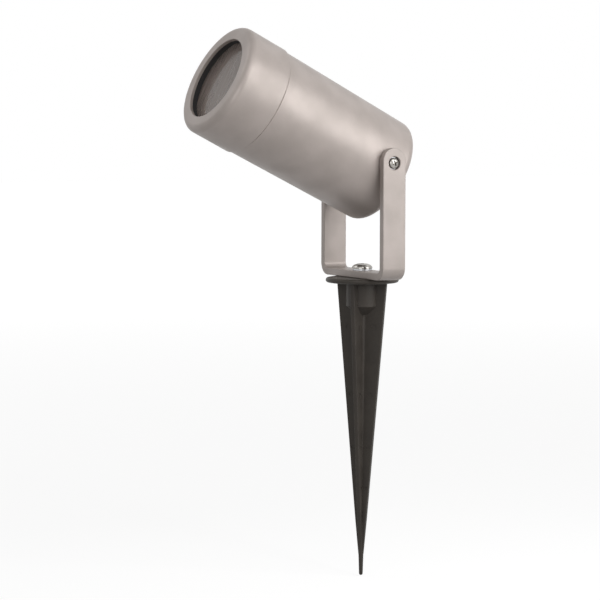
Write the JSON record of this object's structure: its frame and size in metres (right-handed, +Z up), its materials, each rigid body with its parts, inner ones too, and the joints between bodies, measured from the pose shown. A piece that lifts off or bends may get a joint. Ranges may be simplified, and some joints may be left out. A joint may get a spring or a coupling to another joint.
{
  "type": "landscape spotlight",
  "caption": "Tubular ground-spike spotlight: cast head with a screw-on front ring and recessed glass, tilting in a bent yoke that swivels on a moulded spike.",
  "frame": {"origin": "on the spike's axis at the ground line, which is the underside of the spike's flange", "axes": "+Z up along the spike, the head aims towards -Y and tilts up about X, the yoke's legs stand at -X and +X"},
  "size_m": [0.0714, 0.132, 0.3105],
  "materials": {
    "casting_coat": "powder-coated die casting, warm silver grey, satin",
    "bracket_coat": "powder-coated bent strip, warm silver grey, satin",
    "black_moulding": "black injection moulding, matt with slight sheen",
    "black_nylon": "black nylon, matt",
    "black_rubber": "black silicone rubber",
    "bright_steel": "bright stainless steel",
    "zinc_steel": "zinc-plated steel",
    "clear_glass": "clear tempered glass",
    "lamp_shell": "dark grey lacquered heat sink",
    "lamp_optic": "moulded lamp lens with fine flutes, smoke grey",
    "lamp_foot": "white moulded lamp base",
    "holder_ceramic": "unglazed steatite",
    "contact_brass": "brass",
    "lead_silicone": "silicone-sleeved lead"
  },
  "bodies": {
    "spike": {"ground_spike": "black_moulding", "spike_nut": "zinc_steel", "base_screw": "bright_steel", "base_lock_washer": "zinc_steel"},
    "yoke": {"yoke_bracket": "bracket_coat"},
    "head": {"head_housing": "casting_coat", "neck_seal": "black_rubber", "friction_washers": "black_nylon", "pivot_screws": "bright_steel", "pivot_lock_washers": "zinc_steel", "lamp_holder": "holder_ceramic", "holder_contacts": "contact_brass", "holder_bracket": "zinc_steel", "holder_screws": "zinc_steel", "bracket_screws": "zinc_steel", "terminal_block": "holder_ceramic", "block_screw": "zinc_steel", "terminal_screws": "contact_brass", "holder_leads": "lead_silicone", "earth_screw": "zinc_steel", "gland_washer": "black_rubber", "gland_body": "black_nylon", "gland_locknut": "black_nylon", "gland_seal": "black_rubber", "gland_cap": "black_nylon"},
    "lens_pack": {"lens_gasket": "black_rubber", "lens_glass": "clear_glass"},
    "ring": {"front_ring": "casting_coat"},
    "lamp": {"lamp_body": "lamp_shell", "lamp_lens": "lamp_optic", "lamp_base": "lamp_foot", "lamp_pins": "zinc_steel"}
  },
  "joints": [
    {"name": "yoke_swivel", "type": "hinge", "parent": "spike", "child": "yoke", "pos_m": [0, 0, 0], "axis": [0, 0, 1], "continuous": true},
    {"name": "head_tilt", "type": "hinge", "parent": "yoke", "child": "head", "pos_m": [0, 0, 0.06805], "axis": [-1, 0, 0], "range_deg": [-72, 198]},
    {"name": "ring_travel", "type": "slide", "parent": "head", "child": "lens_pack", "axis": [0, -0.8942, 0.4478], "range_m": [0, 0.012]},
    {"name": "ring_turn", "type": "hinge", "parent": "lens_pack", "child": "ring", "pos_m": [0, 0, 0.06805], "axis": [0, -0.8942, 0.4478], "range_deg": [0, 2160]},
    {"name": "lamp_turn", "type": "hinge", "parent": "head", "child": "lamp", "pos_m": [0, 0, 0.06805], "axis": [0, -0.8942, 0.4478], "range_deg": [0, 28]}
  ],
  "couplings": [
    {"joint": "ring_travel", "follows": "ring_turn", "m_per_rad": 0.00031831}
  ]
}
